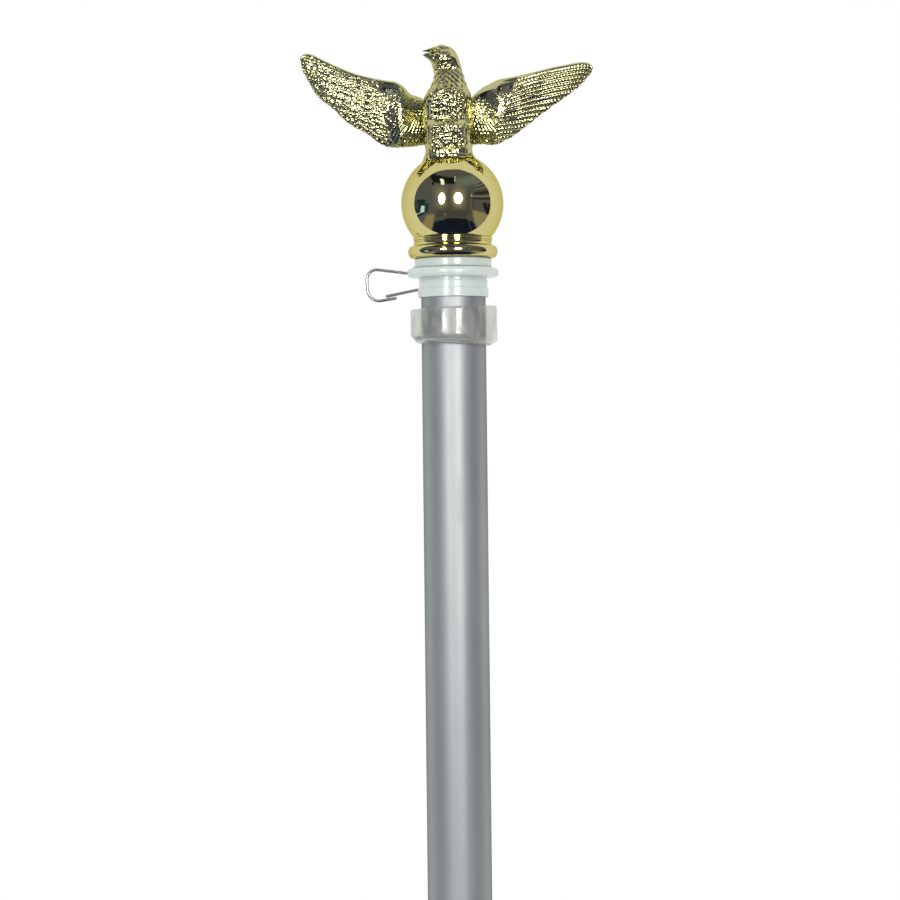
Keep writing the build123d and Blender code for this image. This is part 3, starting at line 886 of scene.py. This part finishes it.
def body_form(around, up):
    table = np.array(STATIONS)
    index = np.arange(len(table))
    s = up * (len(table) - 1 + BASE_CAP) - BASE_CAP
    level = np.clip(s, 0, None)
    z, left, right, front, back, square = (smooth_through(level, index, row) for row in table.T)
    turn = 2 * np.pi * around
    c, d = np.cos(turn), np.sin(turn)
    lean = np.interp(level, [0, 3, 5, 9, 11], [0, 0.3, 1.0, 1.4, 0])
    x = (left + right) / 2 + (right - left) / 2 * np.sign(c) * np.abs(c) ** square
    x = x + lean * np.clip(d, -1, 0)
    y = (front + back) / 2 + (back - front) / 2 * np.sign(d) * np.abs(d) ** square
    shrink = np.clip(1 + s / BASE_CAP, 0, 1)
    x, y = x * shrink, y * shrink
    on_ball = np.sqrt(np.clip(SEAT_RADIUS**2 - x**2 - y**2, 0, None))
    hem = 1 - step_up(level, 0.0, 2.4)
    z = z * (1 - hem) + on_ball * hem
    return x, y, z


print("body from", STATIONS[0][0], "to", STATIONS[-1][0], "mm above the ball's centre")

# %% [markdown]
# ### Eye and feathers of the body
# The relief is pebbles on the breast and belly, pointed scales up the neck, slim feathers on the
# flanks, a dappled cheek, a knotted band above the hem, and the eye: a rim, a lid and a round
# pupil. The eye is drawn with distances from ovals, which give a raised line of even width.

# %% Eye and feathers of the body


def oval(x, z, centre_x, centre_z, half_x, half_z, tilt=0.0):
    """Distance from an oval's line, in mm, negative inside."""
    c, s = math.cos(tilt), math.sin(tilt)
    a, b = (x - centre_x) * c + (z - centre_z) * s, (z - centre_z) * c - (x - centre_x) * s
    return (np.hypot(a / half_x, b / half_z) - 1) * min(half_x, half_z)


def eye_relief(x, z):
    rim = oval(x, z, -2.7, 60.9, 3.3, 1.3, -0.10)
    lid = oval(x, z, -3.2, 60.0, 3.0, 1.7, -0.06)
    pupil = np.hypot(x + 4.7, z - 61.1)
    height = 0.34 * np.exp(-((rim / 0.30) ** 2)) - 0.30 * step_up(-rim, 0.0, 0.4)
    height += 0.26 * np.exp(-((lid / 0.26) ** 2)) * step_up(-z, -60.0, -59.2)
    height += 0.80 * np.sqrt(np.clip(1 - (pupil / 0.80) ** 2, 0, 1))
    behind_pupil = step_up(-rim, 0.1, 0.4) * step_up(x, -3.9, -3.5)
    height += 0.42 * beads(x, z - 60.3, 0.9, 1.1, 0.2, 0, 31) * behind_pupil
    return height


def body_relief(x, y, z, normal):
    facing = step_up(np.abs(normal[:, 1]), 0.35, 0.75)
    side = x + 1.6
    turn = np.arctan2(side, -y * np.sign(-normal[:, 1] + 1e-9)) * 9.0

    # Pebbles on the breast and belly, and a column of them between the two.
    breast = step_up(z, 32.3, 33.6) * (1 - step_up(z, 44.0, 47.5))
    belly = step_up(z, 20.6, 21.4) * (1 - step_up(z, 29.6, 30.6))
    middle = facing * (1 - step_up(np.abs(side), 6.0, 7.2))
    pebbles = beads(x, z, 1.42, 1.42, 0.8, 1, 41, 0.60)
    height = middle * (breast + belly) * 0.70 * pebbles
    waist = step_up(z, 29, 31) * (1 - step_up(z, 32, 34))
    column = (1 - step_up(np.abs(x + 1.2), 1.8, 2.8)) * facing * waist
    height += column * 0.6 * pebbles

    # Pointed scales up the neck, dented between.
    chevron = z + 0.95 * np.abs(x + 1.9)
    neck = step_up(z, 43.5, 46.0) * (1 - step_up(z, 53.5, 55.5))
    away, own = grains(turn * 0.9, chevron, 1.75, 2.2, 0.30, 1, 42)
    dent = (1 - step_up(away, 0.10, 0.36)) * (0.5 + 0.5 * own)
    height -= 0.42 * neck * dent
    height += 0.10 * neck * np.cos(2 * np.pi * chevron / 2.2)

    # Slim feathers on the flanks.
    flank = (1 - neck) * (1 - middle) * step_up(z, 20, 23) * (1 - step_up(z, 46, 50))
    away, own = grains(turn, z + 0.6 * np.abs(side), 1.25, 3.0, 0.5, 1, 43)
    height += flank * 0.28 * (1 - step_up(away, 0.2, 0.6)) * own

    # A dappled cheek, a knotted band above the hem, and the eye.
    dapple = beads(x, z, 1.0, 1.0, 0.9, 1, 44)
    cheek = step_up(z, 53.2, 54.4) * (1 - step_up(z, 56.8, 58.0))
    height += 0.24 * dapple * cheek * (1 - step_up(np.abs(x + 2.6), 2.6, 4.0))
    knots = beads(turn, z, 1.7, 1.6, 0.5, 0, 45)
    band = step_up(z, 17.8, 18.6) * (1 - step_up(z, 20.4, 21.2))
    height += 0.36 * knots * band * (1 - step_up(np.abs(side), 7.0, 9.0))
    height += facing * eye_relief(x, z) * step_up(z, 56.5, 57.2)
    return height


eagle_body = wrapped_grid("eagle_body", 300, 290, body_form)
sculpt(eagle_body, body_relief)
cast_gold(eagle_body, BODY_GOLD)
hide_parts("eagle")

# %% [markdown]
# ### Beak
# Two mandibles stand a little apart. Each is a short curved cone, drawn as a stack of rings
# that shrink towards a hooked tip. They are pieces of their own, because the gap between them
# would be hard to press into the head's rounded sections.

# %% Beak


def mandible(name, spine, radii_z, radii_y):
    spine = np.array(spine, float)
    index = np.arange(len(spine))

    def form(around, up):
        s = up * (len(spine) - 1)
        columns = (*spine.T, radii_z, radii_y)
        x, y, z, high, wide = (smooth_through(s, index, column) for column in columns)
        turn = 2 * np.pi * around
        return x, y + wide * np.cos(turn), z + high * np.sin(turn)

    piece = wrapped_grid(name, 40, 40, form)
    cast_gold(piece, WING_GOLD)
    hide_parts("eagle")


mandible(
    "upper_beak",
    spine=[(-4.5, 3.0, 61.0), (-6.2, 2.7, 61.1), (-7.4, 2.5, 60.95), (-8.5, 2.4, 60.85),
           (-9.6, 2.3, 60.75), (-10.8, 2.2, 60.6), (-11.4, 2.2, 60.4)],
    radii_z=[0.1, 1.25, 1.0, 0.75, 0.48, 0.24, 0.0],
    radii_y=[0.1, 2.3, 1.9, 1.4, 0.9, 0.4, 0.0],
)
mandible(
    "lower_beak",
    spine=[(-4.5, 3.0, 57.0), (-6.3, 2.6, 57.3), (-7.7, 2.4, 57.9), (-8.9, 2.3, 58.55),
           (-10.0, 2.2, 58.85), (-10.8, 2.2, 59.0), (-11.1, 2.2, 59.05)],
    radii_z=[0.1, 2.5, 2.0, 1.32, 0.8, 0.28, 0.0],
    radii_y=[0.1, 2.6, 2.1, 1.5, 0.9, 0.35, 0.0],
)

# %% [markdown]
# ### Tail
# The tail folds down behind the ball. It is a short fan of five feathers, made as one flat
# cushion with a quill and barbs in relief on each feather, because the feathers are cast in one.

# %% Tail
TAIL_MIDDLE = 1.2
FEATHER_WIDTH = 2.9


def tail_form(around, down):
    front = around < 0.5
    t = np.where(front, around * 2, (1 - around) * 2)
    across = t * 2 - 1
    half_wide = smooth_through(down, [0, 0.3, 0.7, 0.92, 1.0], [4.5, 5.6, 7.0, 7.2, 6.6])
    middle_y = 6.5 + 14.2 * down - 0.8 * across**2
    middle_z = 29.5 - 18.6 * down - 1.2 * (1 - across**2) * down**4
    half = 1.35 * np.sqrt(np.clip(1 - across**4, 0, 1))
    half = half * np.sqrt(np.clip(1 - (2 * down - 1) ** 6, 0, 1))
    push = np.where(front, -half, half)
    return across * half_wide - TAIL_MIDDLE, middle_y + push * 0.80, middle_z + push * 0.60


def tail_relief(x, y, z, normal):
    quill = np.abs(((x + TAIL_MIDDLE) / FEATHER_WIDTH + 0.5) % 1 - 0.5)
    barbs = np.abs(np.sin(z * 2.1 + quill * 5))
    vane = 0.35 * (1 - step_up(quill, 0.30, 0.5))
    return vane + 0.10 * barbs + 0.2 * np.exp(-((quill / 0.07) ** 2))


tail = wrapped_grid("tail", 160, 120, tail_form)
sculpt(tail, tail_relief)
cast_gold(tail, WING_GOLD)
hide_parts("eagle")

# %% [markdown]
# ### Leaf behind the snap button
# The leaf is a bent strip of spring steel inside the joiner. One leg rests on the joiner's back
# wall and the other pushes the button out, and it gives way when the button is pressed.
# Its section is a rectangle with softened corners, drawn along a narrow U.

# %% Snap spring
leaf_low, leaf_high = (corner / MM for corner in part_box("snap_spring"))
leaf_wide = leaf_high.x - leaf_low.x
LEAF_THICK = 0.6
LEG_LENGTH = 10.0
NEARBY = 0.002       # the share of the path over which its direction is measured
ROUNDED_END = 0.004  # the share of the path over which an end closes
SQUARE = 0.25        # 1 would be an oval section, 0 a sharp rectangle


def leaf_path():
    """Down one leg, round the bend at the foot and up the other leg."""
    front, back = leaf_low.y + LEAF_THICK / 2, leaf_high.y - LEAF_THICK / 2
    foot, top = leaf_low.z + LEAF_THICK / 2, leaf_high.z
    knee = top - LEG_LENGTH
    down = [(0.0, top), (0.0, top - LEG_LENGTH / 2), (0.0, knee), (0.25, (knee + foot) / 2),
            (0.43, foot + 2.5), (0.5, foot)]
    back_up = [(1 - share, z) for share, z in down[-2::-1]]
    return [(front + (back - front) * share, z) for share, z in down + back_up]


def leaf_form(around, along):
    path = leaf_path()
    y, z = along_outline(along, path)
    ahead_y, ahead_z = along_outline(np.clip(along + NEARBY, 0, 1), path)
    behind_y, behind_z = along_outline(np.clip(along - NEARBY, 0, 1), path)
    run_y, run_z = ahead_y - behind_y, ahead_z - behind_z
    length = np.hypot(run_y, run_z)
    turn = 2 * np.pi * around
    end = np.clip(np.minimum(along, 1 - along) / ROUNDED_END, 0, 1)
    across = leaf_wide / 2 * np.sign(np.cos(turn)) * np.abs(np.cos(turn)) ** SQUARE * end
    thick = LEAF_THICK / 2 * np.sign(np.sin(turn)) * np.abs(np.sin(turn)) ** SQUARE * end
    return across, y - thick * run_z / length, z + thick * run_y / length - BALL.z / MM


snap_leaf = wrapped_grid("snap_spring_leaf", 24, 90, leaf_form)
snap_leaf.data.materials.append(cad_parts["snap_spring"].data.materials[0])
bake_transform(snap_leaf)
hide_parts("snap_spring")
print("leaf", len(snap_leaf.data.polygons), "faces")

# %% [markdown]
# ### Clear vinyl
# The stop collars are soft clear vinyl. It lets light through with little colour, and handling
# has scuffed it: fine scratches and a milky haze that is stronger in patches. Clean glass would
# almost vanish before the white ground, so the scuffs carry most of what is seen.

# %% Clear vinyl
vinyl, nodes, links, shader = new_material("clear_vinyl_collar")
place = nodes.new("ShaderNodeTexCoord").outputs["Object"]
shader.inputs["Base Color"].default_value = (0.84, 0.85, 0.81, 1)
shader.inputs["IOR"].default_value = 1.42
scuff = noise(nodes, links, place, scale=300, detail=6, stretch=(1, 1, 0.45))
clear = between(nodes, links, scuff, 0.93, 0.80, from_low=0.45, from_high=0.68)
links.new(clear, shader.inputs["Transmission Weight"])
haze = between(nodes, links, scuff, 0.06, 0.26, from_low=0.38, from_high=0.64)
links.new(haze, shader.inputs["Roughness"])
bump(nodes, links, shader, scuff, strength=0.16, distance=0.0002)
print(vinyl.name, "ready")

# %% [markdown]
# ### Stop collars
# A collar is one soft cup: a sleeve that grips the tube, a cone, and a wide cup with an open
# thin lip. It could be spun from its section, but a soft cup never sits quite square. So its
# section runs around the tube on a wrapped grid, which is sheared a little, sags on one side and
# has a wall that wavers by a few hundredths of a millimetre. Both collars share one function.

# %% Stop collars
COLLAR_OUTLINE = [
    # radius, height below the lip
    (12.78, -14.2), (14.38, -14.2), (14.60, -14.0), (17.0, -11.2), (17.1, -10.9), (17.1, -0.7),
    (16.95, -0.2), (16.6, 0.0), (16.2, 0.0), (16.1, -0.3), (16.1, -10.5), (16.0, -10.8),
    (13.8, -12.6), (13.5, -12.7), (12.78, -12.4), (12.78, -14.2),
]
COLLAR_TILT = 0.033


def collar(name, body, node):
    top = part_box(node)[1].z / MM - BALL.z / MM
    outline = np.array(COLLAR_OUTLINE)
    length = np.concatenate([[0], np.cumsum(np.hypot(*np.diff(outline, axis=0).T))])

    def form(section, around):
        radius = np.interp(section * length[-1], length, outline[:, 0])
        z = np.interp(section * length[-1], length, outline[:, 1])
        turn = 2 * np.pi * around
        cup = step_up(z, -12.4, -9.0)
        radius = radius + cup * (0.06 * np.cos(3 * turn + 0.7) + 0.05 * np.cos(5 * turn))
        x, y = radius * np.cos(turn), radius * np.sin(turn)
        lean = COLLAR_TILT * x * (2.2 * step_up(z, -15.0, -2.0) - 1.2)
        sag = 1.4 * step_up(x, 4.0, 16.0) * np.exp(-(((z + 11.4) / 1.6) ** 2))
        return x, y, top + z + lean - sag + 0.10 * cup * np.cos(4 * turn + 1.0)

    piece = wrapped_grid(name, 110, 160, form)
    piece.data.materials.append(vinyl)
    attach(piece, body)
    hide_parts(node)
    print(name, len(piece.data.polygons), "faces")


collar("top_collar_cup", "top_collar", "top_stop_collar")
collar("lower_collar_cup", "lower_collar", "lower_stop_collar")
